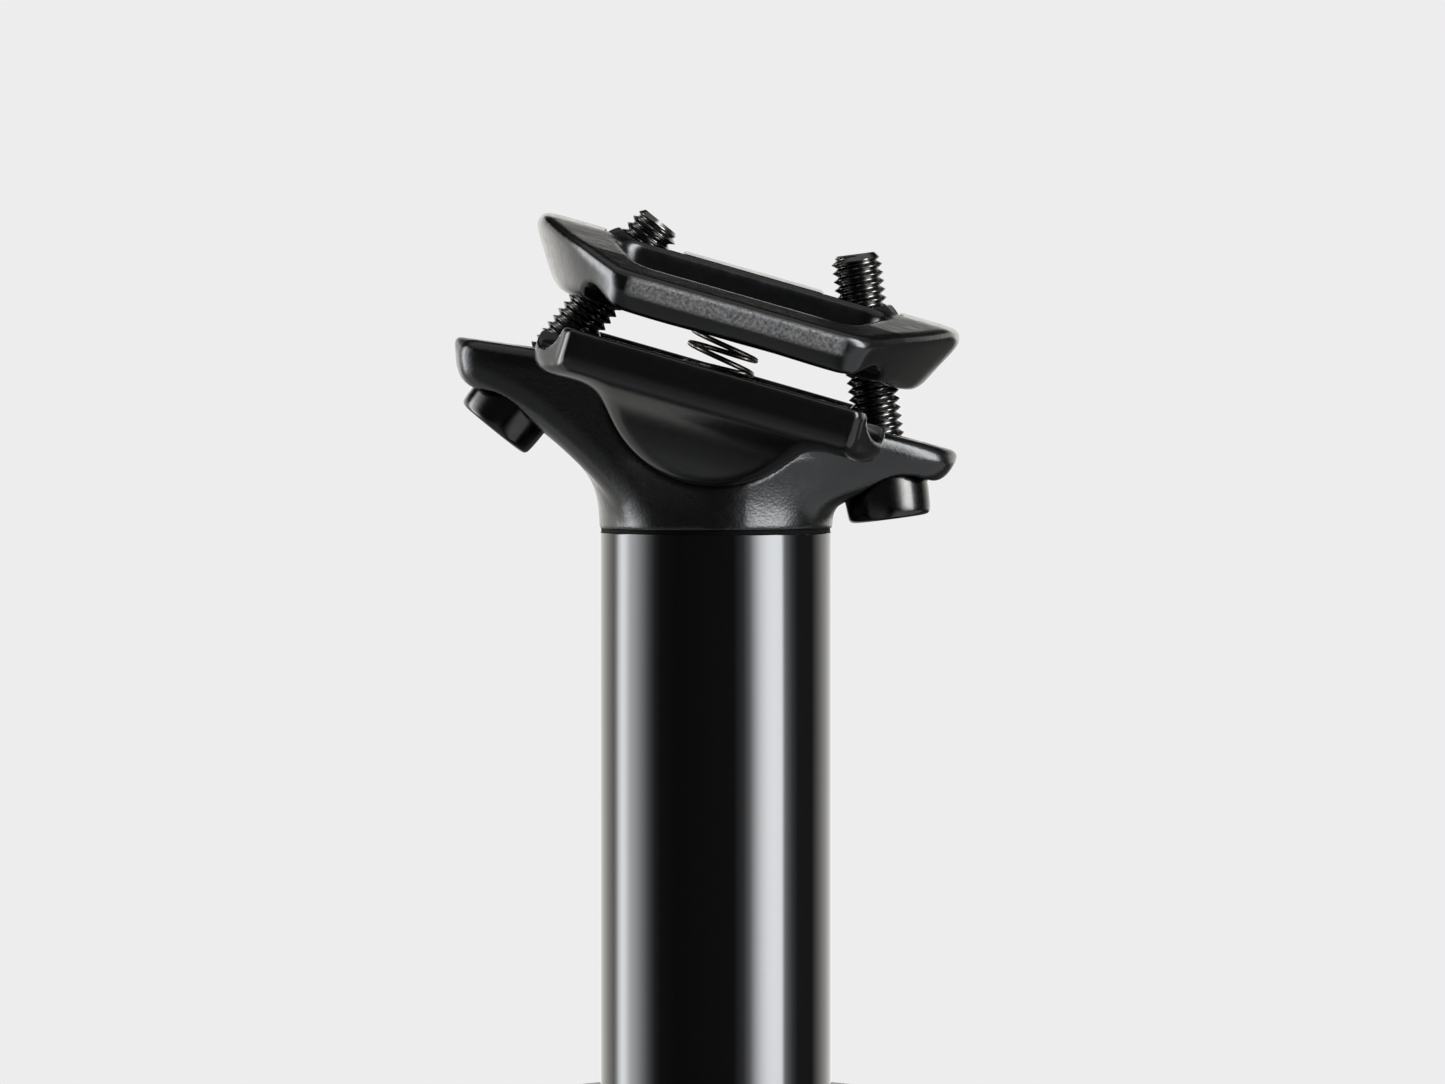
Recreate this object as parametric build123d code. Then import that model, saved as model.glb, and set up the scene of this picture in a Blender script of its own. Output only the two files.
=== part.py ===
from build123d import *
import math
import os

# Telescoping suspension seatpost with a two-bolt saddle clamp.
# Millimetres. +Z up the post, +X towards the handlebar, +Y to the rider's left.
# The origin is on the post axis, at the lower end of the outer tube's
# full-diameter wall.

os.makedirs("parts", exist_ok=True)

# ---------------------------------------------------------------- shared sizes
# Tubes
shaft_r = 13.6            # 27.2 mm shaft
shaft_bore_r = 11.0
outer_r = 17.45           # 34.9 mm outer tube
outer_bore_r = 15.25
thread_r = 16.5           # reduced upper end of the outer tube
collar_r = 19.2
spigot_r = shaft_bore_r - 0.02    # head and foot spigots inside the shaft

# Heights up the post
plug_top = 13.0
spring_z0 = 18.0          # main spring, between its lower seat and the shaft foot
spring_z1 = 112.0
seat_step_top = 20.0      # step on the lower spring seat, under the bump stop
shaft_z0 = 118.0
lower_bush_top = 141.0
spacer_top = 221.0
bumper_top = 226.0        # also the top of the keyways
full_z1 = 250.0           # top of the full-diameter wall
outer_z1 = 262.0          # top of the threaded end
wiper_top = 265.5
z_seam = 335.0            # joint line between the shaft and the forged head

# Anti-rotation keys
key_n = 3
key_w = 3.0
key_len = 19.5
key_z = 129.5             # middle of the keys
key_r0 = 13.02
key_r1 = 15.85
keyway_r = 16.05

# Clamp. Its frame has the cradle pivot as origin and is tilted with the clamp.
tilt = 16.0               # clamp is nose-down by this much
pivot_up = 18.5           # cradle pivot above the seam
drum_r = 13.0
rail_r = 3.5
rail_y = 21.5             # half of the 43 mm rail spacing
groove_len = 80
spring_pocket_x = 0.5     # pocket for the centring spring
spring_pocket_r = 4.9
spring_pocket_z0 = -3.0
spring_pocket_z1 = 7.4

# Bolts: seat point x, seat point above the seam, lean towards +X in degrees.
# A bolt's frame has the seat point as origin and the bolt axis as Z.
bolts = {
    "rear": (-21.80, 17.09, 38.95),
    "front": (19.60, 8.04, -7.44),
}
head_face_z = -1.0        # bolt head against washer
swing_below = 13.0        # centre of the washer spheres, below the seat point
washer_sphere_r = 14.0
seat_sphere_r = 15.05
sphere_gap = 0.03
nut_r = 4.25
nut_len = 16.0
nut_up = 9.4              # barrel nut height in the clamp's frame

BOTTOM, TOP = 0, -1       # ends of a shape in Z, for bevel

clamp_at = Pos(0, 0, z_seam + pivot_up) * Rot(0, tilt, 0)
swing_centre = Pos(0, 0, -swing_below)


# ---------------------------------------------------------------- helpers
def face(points):
    return make_face(Polyline(*points, close=True))


def side(points, half):
    """A prism along Y from an outline in X and Z."""
    return extrude(Plane.XZ * face(points), half, both=True)


def end(points, half):
    """A prism along X from an outline in Y and Z."""
    return extrude(Plane.YZ * face(points), half, both=True)


def plan(points, z0, z1):
    """A prism along Z from an outline in X and Y."""
    return Pos(0, 0, z0) * extrude(face(points), z1 - z0)


def mirrored(points, first=1, second=1):
    """Half an outline plus its mirror image; points on the mirror line stay single."""
    image = [(first * a, second * b) for a, b in reversed(points)]
    return points + [point for point in image if point not in points]


def rod(r, z0, z1):
    return Pos(0, 0, (z0 + z1) / 2) * Cylinder(r, z1 - z0)


def ring(r0, r1, z0, z1):
    return rod(r1, z0, z1) - rod(r0, z0 - 1, z1 + 1)


def across(r, length):
    """A cylinder along Y."""
    return Rot(90, 0, 0) * Cylinder(r, length)


def along(r, length):
    """A cylinder along X."""
    return Rot(0, 90, 0) * Cylinder(r, length)


def around(shape, count, start=0):
    """Copies evenly spaced about the post axis."""
    return [Rot(0, 0, 360 / count * i + start) * shape for i in range(count)]


def key_block(r0, r1, width, height, z_mid=key_z):
    """A block on the +X side, from radius r0 to r1."""
    return Pos((r0 + r1) / 2, 0, z_mid) * Box(r1 - r0, width, height)


def coil(x, z0, pitch, height, coil_r, wire_r):
    path = Pos(x, 0, z0) * Helix(pitch=pitch, height=height, radius=coil_r)
    return sweep(Plane(origin=path @ 0, z_dir=path % 0) * Circle(wire_r), path)


def hex_socket(apothem, z0, depth):
    return Pos(0, 0, z0) * extrude(RegularPolygon(apothem, 6, major_radius=False), depth)


def slot_prism(spacing, width, z0, height):
    return Pos(0, 0, z0) * extrude(SlotCenterToCenter(spacing, width), height)


def bevel(shape, which, size):
    """Chamfer the edges at the shape's BOTTOM or TOP."""
    return chamfer(shape.edges().group_by(Axis.Z)[which], size)


def soften(shape, edges, radius):
    """Round the edges, with a smaller radius where the full one can't be made."""
    for r in (radius, radius * 0.6, radius * 0.3):
        # Guards against a radius the kernel can't build; the last resort is sharp edges.
        try:
            out = fillet(edges, r)
            if out.is_valid and out.volume > 0:
                return out
        except Exception:
            continue
    return shape


def edges_at_sides(shape, half_width):
    """Edges centred on the planes y = +half_width and y = -half_width."""
    return shape.edges().filter_by(lambda e: abs(abs(e.center().Y) - half_width) < 0.05)


def save(shape, name):
    solids = shape.solids()
    out = solids[0] if len(solids) == 1 else Compound(children=list(solids))
    export_step(out, "parts/" + name + ".step")


def bolt_frame(x, up, lean):
    return Pos(x, 0, z_seam + up) * Rot(0, lean, 0)


def nut_frame(x, up, lean):
    """Where the bolt axis reaches the nut height, in the clamp's frame."""
    t = math.radians(tilt)
    dz = up - pivot_up
    seat_x = x * math.cos(t) - dz * math.sin(t)
    seat_z = x * math.sin(t) + dz * math.cos(t)
    nut_x = seat_x + (nut_up - seat_z) * math.tan(math.radians(lean - tilt))
    return Pos(nut_x, 0, nut_up) * Rot(0, lean - tilt, 0)


# ---------------------------------------------------------------- outer tube and its end
def outer_tube():
    keyway_z0 = 30
    tube = bevel(rod(outer_r, -1.5, full_z1), BOTTOM, 1.0)
    tube = tube + rod(thread_r, full_z1 - 0.5, outer_z1)
    tube = tube - rod(outer_bore_r, -5, outer_z1 + 5)
    keyway = key_block(10, keyway_r, key_w + 0.1, bumper_top - keyway_z0,
                       (keyway_z0 + bumper_top) / 2)
    for slot in around(keyway, key_n):
        tube = tube - slot
    return tube


def collar_nut():
    collar = ring(thread_r + 0.05, collar_r, full_z1 + 0.1, outer_z1 + 0.3)
    collar = collar + ring(13.95, collar_r, outer_z1 + 0.2, 269.0)
    collar = collar - rod(16.0, outer_z1, wiper_top + 0.1)      # wiper recess
    for which, size in ((TOP, 1.8), (BOTTOM, 0.6)):
        circles = collar.edges().filter_by(GeomType.CIRCLE)
        rims = circles.filter_by(lambda e: e.radius > 19)
        collar = chamfer(rims.group_by(Axis.Z)[which], size)
    flute = Pos(collar_r + 0.9, 0, 259) * Cylinder(2.2, 13)
    for cut in around(flute, 6, start=30):
        collar = collar - cut
    return collar


def wiper_seal():
    """A body ring held by the collar, with a lip that comes close to the shaft."""
    body = ring(14.4, 15.9, outer_z1 + 0.1, wiper_top)
    return body + ring(shaft_r + 0.03, 14.6, 263.2, wiper_top)


def upper_bush():
    bush = ring(shaft_r + 0.05, outer_bore_r - 0.02, bumper_top + 0.1, outer_z1 - 0.1)
    for z in (236, 248):      # inner grooves
        bush = bush - ring(shaft_r, shaft_r + 0.5, z, z + 3)
    return bush


# ---------------------------------------------------------------- shaft and what it carries
def shaft_tube():
    shaft = bevel(rod(shaft_r, shaft_z0, z_seam), TOP, 0.45)
    shaft = shaft - rod(shaft_bore_r, shaft_z0 - 5, z_seam + 5)
    for slot in around(key_block(13, 17, key_w + 0.06, key_len + 0.1), key_n):
        shaft = shaft - slot
    return shaft


def anti_rotation_keys():
    key = key_block(key_r0, key_r1, key_w, key_len)
    key = chamfer(key.edges().filter_by(Axis.X), 0.5)
    return Compound(children=[copy.solids()[0] for copy in around(key, key_n)])


def lower_bush():
    bush = ring(shaft_r + 0.02, outer_bore_r - 0.05, shaft_z0, lower_bush_top)
    for slot in around(key_block(12, 18, key_w + 0.1, key_len + 0.2), key_n):
        bush = bush - slot
    return bush


def travel_spacer():
    spacer = ring(shaft_r + 0.05, 14.9, lower_bush_top, spacer_top)
    hole = Pos(14, 0, (lower_bush_top + spacer_top) / 2) * along(3, 8)
    for cut in around(hole, 3, start=30):
        spacer = spacer - cut
    return spacer


def top_out_bumper():
    return ring(shaft_r + 0.1, 14.8, spacer_top + 0.05, bumper_top)


def shaft_foot():
    foot = rod(15.0, spring_z1, shaft_z0) + rod(spigot_r, shaft_z0 - 0.5, 138.0)
    foot = foot + rod(9.6, 104.0, spring_z1 + 0.5)
    foot = bevel(foot, BOTTOM, 1.0)
    return foot - rod(4.0, 100.0, 140.0) - rod(8.4, 122.0, 140.0)


# ---------------------------------------------------------------- spring pack
def main_spring():
    wire_r = 2.0
    turns = 8
    inset = wire_r + 0.02     # from the spring's ends to the wire's centre line
    height = spring_z1 - spring_z0 - 2 * inset
    spring = coil(0, spring_z0 + inset, height / turns, height, 12.2, wire_r - 0.03)
    return spring & rod(20, spring_z0, spring_z1)


def lower_spring_seat():
    seat = rod(14.9, plug_top, spring_z0) + rod(9.0, spring_z0 - 0.5, seat_step_top)
    seat = seat + rod(3.2, seat_step_top - 1, 32.0)
    return bevel(seat, TOP, 0.8)


def bump_stop():
    stop_r = 7.0
    stop = ring(3.3, stop_r, seat_step_top + 0.05, 34.0) + rod(stop_r, 33.0, 44.0)
    for z in (28, 36):        # outer grooves
        stop = stop - Pos(0, 0, z) * Torus(stop_r + 0.6, 1.5)
    return stop


def preload_plug():
    plug_z0 = -1.0
    plug = bevel(rod(outer_bore_r - 0.06, plug_z0, plug_top), BOTTOM, 0.8)
    plug = plug - hex_socket(5.0, plug_z0, 8.0)
    return plug - rod(2.5, 0, 20)


# ---------------------------------------------------------------- forged head
# Side outline: x, height above the seam
head_outline = [
    (-30.3, 22.3), (-21.3, 21.2), (-12.0, 19.9), (12.0, 13.4), (20.0, 11.3), (28.0, 9.2),
    (27.9, 7.8), (26.9, 6.3), (25.3, 5.4), (21.3, 4.9), (17.1, 3.9), (15.0, 3.0),
    (14.2, 1.9), (13.8, 0.6), (13.5, 0.0), (-13.5, 0.0), (-13.8, 0.6), (-13.85, 2.8),
    (-14.4, 4.9), (-15.6, 7.0), (-17.7, 9.3), (-20.2, 11.4), (-23.0, 14.0), (-25.5, 15.6),
    (-28.6, 16.9), (-29.5, 18.0), (-30.3, 19.8),
]
# Rounded underside seen along X, right half: y, height above the seam
head_underside = [
    (-14, 30), (-14, 10.5), (-11.2, 6.2), (-8.0, 4.0), (-4.5, 2.6), (0, 2.2),
]
neck_r = 13.8
ear_r = 7.9
rear_ear_x = -22.4
front_ear_x = 20.1


def raised(points):
    """Outline points moved from above the seam to above the origin."""
    return [(across_post, up + z_seam) for across_post, up in points]


def ear_web(ear_x):
    """The neck and ear posts and the flat-sided web that runs tangent to both."""
    z0, z1 = z_seam - 5, z_seam + 30
    sine = (neck_r - ear_r) / abs(ear_x)
    cosine = math.sqrt(1 - sine * sine)
    outward = math.copysign(sine, ear_x)
    neck_x, neck_y = neck_r * outward, neck_r * cosine
    tip_x, tip_y = ear_x + ear_r * outward, ear_r * cosine
    web = plan([(neck_x, neck_y), (tip_x, tip_y), (tip_x, -tip_y), (neck_x, -neck_y)], z0, z1)
    return web + rod(neck_r, z0, z1) + Pos(ear_x, 0, 0) * rod(ear_r, z0, z1)


def clamp_head():
    outline = raised(head_outline)
    blank = side(outline, 20) & (ear_web(rear_ear_x) + ear_web(front_ear_x))
    under = end(mirrored(raised(head_underside), first=-1), 40)
    neck = side(outline, 20) & rod(neck_r, z_seam, z_seam + 30)
    # Keeps the foot of the neck round.
    neck = neck - ring(neck_r, 20, z_seam - 0.01, z_seam + 0.6)

    head = (blank & under) + neck
    head = head - Pos(0, 0, z_seam + pivot_up) * across(drum_r + 0.06, 60)
    head = head + rod(spigot_r, z_seam - 32, z_seam + 0.5)
    head = head - rod(7.6, z_seam - 40, z_seam + 1.5)

    pocket = rod(6.4, -14, 2.6) & swing_centre * Sphere(seat_sphere_r + sphere_gap)
    slot = slot_prism(1.0, 6.9, -2, 14)
    for bolt_at in bolts.values():
        frame = bolt_frame(*bolt_at)
        head = head - frame * pocket - frame * slot
    return head


# ---------------------------------------------------------------- lower cradle
cradle_half_w = 27.5


def lower_cradle():
    belly = []                # arc of the drum, from rear to front
    for k in range(15):
        a = math.radians(205 + (335 - 205) * k / 14)
        belly.append((drum_r * math.cos(a), drum_r * math.sin(a)))
    # Side outline: x, z
    rear_side = [
        (18.3, 0.4), (-17.7, 0.4), (-20.4, -0.3), (-21.2, -1.3), (-21.2, -4.2),
        (-20.3, -5.3), (-15.4, -5.3), (-13.0, -5.2),
    ]
    front_side = [
        (13.2, -5.2), (15.6, -5.3), (20.3, -5.3), (21.2, -4.2), (21.2, -1.3), (20.6, -0.3),
    ]
    # Outline along X, right half: y, z
    end_half = [
        (-cradle_half_w, 0.5), (-cradle_half_w, -3.2), (-26.6, -4.2), (-16.2, -13.2),
    ]
    # Plan corners: x, y
    front_plan = [
        (18.3, cradle_half_w), (21.2, 20.8), (21.2, 16.6), (19.4, 14.7), (12.95, 14.7),
    ]
    rear_plan = [
        (-17.7, -cradle_half_w), (-21.2, -20.8), (-21.2, -16.6), (-19.4, -14.7),
        (-12.95, -14.7),
    ]
    cradle = side(rear_side + belly + front_side, 30)
    cradle = cradle & end(mirrored(end_half, first=-1), 30)
    cradle = cradle & plan(mirrored(front_plan, second=-1) + mirrored(rear_plan, second=-1),
                           -20, 5)
    wing = Box(60, 14.8, 30)
    cradle = cradle & (across(drum_r, 60) + Pos(0, 22, -5) * wing + Pos(0, -22, -5) * wing)
    for y in (-rail_y, rail_y):
        # Rail centre is 0.9 above the pivot.
        cradle = cradle - Pos(0, y, 0.9) * along(rail_r, groove_len)
    cradle = cradle - Pos(0, 0, 1.5) * Box(60, 33.4, 4.0)
    cradle = cradle - Pos(spring_pocket_x, 0, 0) * rod(spring_pocket_r, spring_pocket_z0, 3)
    long_edges = edges_at_sides(cradle, cradle_half_w).filter_by(lambda e: e.length > 20)
    return clamp_at * soften(cradle, long_edges, 0.5)


# ---------------------------------------------------------------- upper clamp
upper_half_w = 27.0
# Side outline: x, z
upper_outline = [
    (-19.4, 3.75), (22.0, 3.75), (24.3, 6.4), (26.4, 9.4), (26.6, 10.4), (26.0, 11.6),
    (24.6, 12.5), (23.0, 12.8), (-21.3, 12.8), (-23.0, 12.5), (-24.4, 11.6), (-24.9, 10.4),
    (-24.7, 9.4), (-22.0, 6.4),
]
# Roof seen along X, left half: y, z
upper_roof = [
    (25.5, 3.8), (upper_half_w, 6.0), (upper_half_w, 8.0), (26.4, 8.5), (20.0, 10.1),
    (8.0, 12.4), (3.0, 12.8),
]
# Plan, left half: x, y
upper_plan = [
    (-24.9, 0), (-22.4, 10.0), (-19.2, 18.8), (-15.3, 24.2), (-13.2, upper_half_w),
    (15.0, upper_half_w), (17.1, 24.2), (21.0, 18.8), (24.3, 10.0), (26.6, 0),
]


def upper_clamp():
    upper = side(upper_outline, 30)
    upper = upper & end(mirrored(upper_roof, first=-1), 40)
    upper = upper & plan(mirrored(upper_plan, second=-1), 0, 20)
    short_edges = edges_at_sides(upper, upper_half_w).filter_by(lambda e: e.length < 4)
    upper = soften(upper, short_edges, 1.2)
    for y in (-1, 1):
        # Groove centre at rest, with the clamp slightly open, is at z = 2.4.
        upper = upper - Pos(1.1, y * rail_y, 2.4) * along(rail_r, groove_len)
        pocket = face([(-12.3, y * 20.0), (14.5, y * 20.0), (17.0, y * 9.6), (-14.8, y * 9.6)])
        pocket = fillet(pocket.vertices(), 2.6)
        upper = upper - Pos(0, 0, 8.0) * extrude(pocket, 8)
    # Barrel nut cradles, open above, with a slot for the bolt below.
    cradle_len = nut_len + 0.4
    for bolt_at in bolts.values():
        frame = nut_frame(*bolt_at)
        upper = upper - frame * across(nut_r + 0.05, cradle_len)
        upper = upper - frame * Pos(0, 0, 6) * Box(2 * nut_r + 0.1, cradle_len, 12)
        upper = upper - frame * slot_prism(1.9, 7.0, -14, 16)
    upper = upper - Pos(spring_pocket_x, 0, 0) * rod(spring_pocket_r, 3.0, spring_pocket_z1)
    for y in (-12.6, 12.6):   # recesses in the underside
        upper = upper - Pos(0.9, y, 4.9) * Box(23, 6, 3)
    return clamp_at * upper


def centring_spring():
    inset = 0.4               # from the pocket's ends to the wire's centre line
    height = spring_pocket_z1 - spring_pocket_z0 - 2 * inset
    spring = coil(spring_pocket_x, spring_pocket_z0 + inset, 1.62, height, 3.95, 0.37)
    room = rod(6, spring_pocket_z0 + 0.02, spring_pocket_z1 - 0.02)
    return clamp_at * (spring & Pos(spring_pocket_x, 0, 0) * room)


# ---------------------------------------------------------------- bolts, washers, nuts
def bolt():
    head_z0 = head_face_z - 6.0
    tip = 24.4                # beyond the seat point
    head = bevel(rod(5.0, head_z0, head_face_z), BOTTOM, 0.6)
    shank = bevel(rod(2.95, head_face_z - 0.5, tip), TOP, 0.7)
    return head + shank - hex_socket(2.5, head_z0, 3.2)


def washer():
    disc = rod(5.5, head_face_z, 3.0) & swing_centre * Sphere(washer_sphere_r)
    return disc - rod(3.1, -5, 5)


def washer_seat():
    disc = rod(5.6, -3.0, 3.0) & swing_centre * Sphere(seat_sphere_r)
    return disc - swing_centre * Sphere(washer_sphere_r + sphere_gap) - rod(3.5, -5, 5)


def barrel_nut():
    flat_z = 2.6
    nut = across(nut_r, nut_len)
    nut = chamfer(nut.edges().filter_by(GeomType.CIRCLE), 0.5)
    return nut - Pos(0, 0, flat_z + 5) * Box(12, 20, 10) - rod(3.45, -10, 10)


# ---------------------------------------------------------------- write the parts
for build in (outer_tube, collar_nut, wiper_seal, upper_bush, shaft_tube, anti_rotation_keys,
              lower_bush, travel_spacer, top_out_bumper, shaft_foot, main_spring,
              lower_spring_seat, bump_stop, preload_plug, clamp_head, lower_cradle,
              upper_clamp, centring_spring):
    save(build(), build.__name__)

for place, bolt_at in bolts.items():
    for build in (bolt, washer, washer_seat):
        save(bolt_frame(*bolt_at) * build(), place + "_" + build.__name__)
    save(clamp_at * nut_frame(*bolt_at) * barrel_nut(), place + "_barrel_nut")
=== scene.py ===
# A suspension seatpost with a two-bolt saddle clamp.
# The post stands along +Z, +X is the front, -X the rear, and the camera looks from -Y.
# Lengths are in mm unless a comment says metres; meshes are scaled to metres when built.
# The clamp frame has its origin at the cradle pivot and its z axis leaning forward by TILT.
import math

import bmesh
import bpy
import numpy as np
import openvdb
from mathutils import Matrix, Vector


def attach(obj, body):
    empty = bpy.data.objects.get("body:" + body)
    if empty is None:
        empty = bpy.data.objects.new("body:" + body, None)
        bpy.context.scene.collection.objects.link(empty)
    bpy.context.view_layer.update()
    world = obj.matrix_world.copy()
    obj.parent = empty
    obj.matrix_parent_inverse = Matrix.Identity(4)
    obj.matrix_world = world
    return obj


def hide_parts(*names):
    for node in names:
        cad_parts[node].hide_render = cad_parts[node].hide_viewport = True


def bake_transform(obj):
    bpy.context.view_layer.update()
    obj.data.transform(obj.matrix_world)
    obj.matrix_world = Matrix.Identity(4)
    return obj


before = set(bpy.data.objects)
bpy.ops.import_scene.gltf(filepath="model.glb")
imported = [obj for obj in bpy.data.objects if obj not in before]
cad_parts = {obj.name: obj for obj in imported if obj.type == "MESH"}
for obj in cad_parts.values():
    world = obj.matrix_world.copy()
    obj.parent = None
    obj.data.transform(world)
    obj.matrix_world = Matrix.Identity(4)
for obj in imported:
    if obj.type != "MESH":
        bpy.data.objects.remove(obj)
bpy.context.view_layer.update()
MM = 0.001

# ------------------------------------------------------------------ shared layout
SEAM = 335.0  # height of the joint between shaft and head
PIVOT = (0.0, 353.5)  # x, z of the cradle pivot
TILT = math.radians(16.0)
CT, ST = math.cos(TILT), math.sin(TILT)
# bolt seat (x, z) and the bolt's forward lean
SEATS = {
    "rear": ((-21.80, SEAM + 17.09), math.radians(38.95)),
    "front": ((19.60, SEAM + 8.04), math.radians(-7.44)),
}
NUT_Z = 9.4  # barrel nut axis, clamp frame
BOLT_TIP = 24.4  # from the bolt seat
DRUM_R = 13.0
RAIL_Y = 21.5
RAIL_R = 3.5
HOLE_X = 0.5  # centre hole through cradle and upper clamp
HOLE_R = 4.9


def to_axis(x, z, origin, lean):
    """The place (x, z) measured across and along an axis leaning forward from origin."""
    cos, sin = math.cos(lean), math.sin(lean)
    dx, dz = x - origin[0], z - origin[1]
    return dx * cos - dz * sin, dx * sin + dz * cos


def from_axis(points, origin, lean):
    """Points of a leaning frame, moved to the world."""
    cos, sin = math.cos(lean), math.sin(lean)
    out = np.array(points, float)
    x, z = out[:, 0].copy(), out[:, 2].copy()
    out[:, 0] = x * cos + z * sin + origin[0]
    out[:, 2] = -x * sin + z * cos + origin[1]
    return out


def clamp_to_world(points):
    return from_axis(points, PIVOT, TILT)


def nut_place(which):
    """The bolt's lean and its nut's (x, z) in the clamp frame."""
    seat, lean = SEATS[which]
    x, z = to_axis(*seat, PIVOT, TILT)
    angle = lean - TILT
    reach = (NUT_Z - z) / math.cos(angle)
    return angle, (x + reach * math.sin(angle), NUT_Z)


# ------------------------------------------------------------------ outlines
def cut_corners(points, times=2):
    """The closed outline with its corners cut repeatedly, until it runs smoothly."""
    for _ in range(times):
        out = []
        for i, a in enumerate(points):
            b = points[(i + 1) % len(points)]
            out.append((0.75 * a[0] + 0.25 * b[0], 0.75 * a[1] + 0.25 * b[1]))
            out.append((0.25 * a[0] + 0.75 * b[0], 0.25 * a[1] + 0.75 * b[1]))
        points = out
    return points


def mirrored(half):
    return half + [(x, -y) for x, y in reversed(half)]


def inset(points, depth):
    """The outline moved inwards by depth, for outlines listed either way round."""
    p = np.array(points, float)
    n = len(p)
    area = 0.5 * sum(p[i][0] * p[(i + 1) % n][1] - p[(i + 1) % n][0] * p[i][1] for i in range(n))
    sign = 1.0 if area > 0 else -1.0
    out = []
    for i in range(n):
        before, here, after = p[i - 1], p[i], p[(i + 1) % n]
        edge_in = (here - before) / np.linalg.norm(here - before)
        edge_out = (after - here) / np.linalg.norm(after - here)
        normal_in = sign * np.array([-edge_in[1], edge_in[0]])
        normal_out = sign * np.array([-edge_out[1], edge_out[0]])
        mitre = normal_in + normal_out
        mitre = mitre / max(np.dot(mitre, mitre), 1e-9) * 2
        out.append(tuple(here + depth * mitre))
    return out


# ------------------------------------------------------------------ distance fields, negative inside
def soft_min(a, b, blend):
    share = np.clip(0.5 + 0.5 * (b - a) / blend, 0, 1)
    return b + (a - b) * share - blend * share * (1 - share)


def soft_max(a, b, blend):
    return -soft_min(-a, -b, blend)


def cut(body, tool, blend):
    """The body with the tool's shape taken away and the new edge rounded."""
    return soft_max(body, -tool, blend)


def blend_union(blend, *fields):
    """A union whose fillets run out without an edge."""
    fields = np.broadcast_arrays(*fields)
    nearest = fields[0]
    for field in fields[1:]:
        nearest = np.minimum(nearest, field)
    total = sum(np.exp(-np.minimum(g - nearest, 40 * blend) / blend) for g in fields)
    return nearest - blend * np.log(total)


def ease(value):
    value = np.clip(value, 0, 1)
    return value * value * (3 - 2 * value)


def polygon(x, y, points):
    """Signed distance to a closed outline."""
    x, y = np.broadcast_arrays(np.asarray(x, float), np.asarray(y, float))
    nearest = np.full(x.shape, 1e9)
    inside = np.zeros(x.shape, bool)
    for i, (ax, ay) in enumerate(points):
        bx, by = points[(i + 1) % len(points)]
        ex, ey = bx - ax, by - ay
        t = np.clip(((x - ax) * ex + (y - ay) * ey) / (ex * ex + ey * ey), 0, 1)
        nearest = np.minimum(nearest, (x - ax - t * ex) ** 2 + (y - ay - t * ey) ** 2)
        if ay != by:
            crosses = (ay > y) != (by > y)
            inside ^= crosses & (x < ex * (y - ay) / (by - ay) + ax)
    distance = np.sqrt(nearest)
    return np.where(inside, -distance, distance)


def round_polygon(x, y, points, radius):
    return polygon(x, y, inset(points, radius)) - radius


# ------------------------------------------------------------------ meshes
def mesh_object(name, points, faces, sharp=None):
    """A smooth-shaded object from points in mm; edges over sharp degrees stay sharp."""
    mesh = bpy.data.meshes.new(name)
    scaled = np.asarray(points, float) * MM
    mesh.from_pydata([tuple(point) for point in scaled.tolist()], [], faces)
    mesh.validate()
    ob = bpy.data.objects.new(name, mesh)
    bpy.context.scene.collection.objects.link(ob)
    bm = bmesh.new()
    bm.from_mesh(mesh)
    bmesh.ops.recalc_face_normals(bm, faces=bm.faces)
    if bm.calc_volume(signed=True) < 0:
        bmesh.ops.reverse_faces(bm, faces=bm.faces)
    bm.to_mesh(mesh)
    bm.free()
    mesh.shade_smooth()
    if sharp is not None:
        mesh.set_sharp_from_angle(angle=math.radians(sharp))
    mesh.update()
    return ob


def field_mesh(name, field, low, high, step, to_world):
    """The zero surface of a field, sampled in a box and then drawn onto the exact surface."""
    counts = [int(math.ceil((high[i] - low[i]) / step)) + 1 for i in range(3)]
    x, y, z = [low[i] + step * np.arange(counts[i]) for i in range(3)]
    values = field(x[:, None, None], y[None, :, None], z[None, None, :])
    values = np.broadcast_to(values, counts).astype(np.float32)
    grid = openvdb.FloatGrid(background=50.0)
    grid.copyFromArray(np.ascontiguousarray(values))
    points, tris, quads = grid.convertToPolygons(isovalue=0.0, adaptivity=0.0)
    points = np.array(points, float) * step + np.array(low)
    probe = 0.02
    for _ in range(3):
        value = field(*points.T)
        slopes = [field(*(points + d).T) - field(*(points - d).T) for d in probe * np.eye(3)]
        gradient = np.stack(slopes, 1) / (2 * probe)
        steepness = np.maximum((gradient * gradient).sum(1), 0.04)
        move = -(value / steepness)[:, None] * gradient
        length = np.linalg.norm(move, axis=1)
        move *= np.minimum(1, 0.35 * step / np.maximum(length, 1e-9))[:, None]
        points = points + move
    faces = [tuple(int(i) for i in face[::-1]) for group in (quads, tris) for face in group]
    return mesh_object(name, to_world(points), faces)


def turned_points(rings, segs):
    """Points of rings (radius, z) about Z; a radius may be one number or one per segment."""
    angle = 2 * math.pi * np.arange(segs) / segs
    return np.concatenate([
        np.stack(np.broadcast_arrays(radius * np.cos(angle), radius * np.sin(angle), z), 1)
        for radius, z in rings])


def ring_faces(rings, segs, closed=False):
    """Quads between neighbouring rings, and from the last to the first when closed."""
    faces = []
    for i in range(rings if closed else rings - 1):
        a, b = i * segs, (i + 1) % rings * segs
        for k in range(segs):
            following = (k + 1) % segs
            faces.append((a + k, a + following, b + following, b + k))
    return faces


def register(ob, mover, part):
    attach(ob, mover)
    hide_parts(part)


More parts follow.
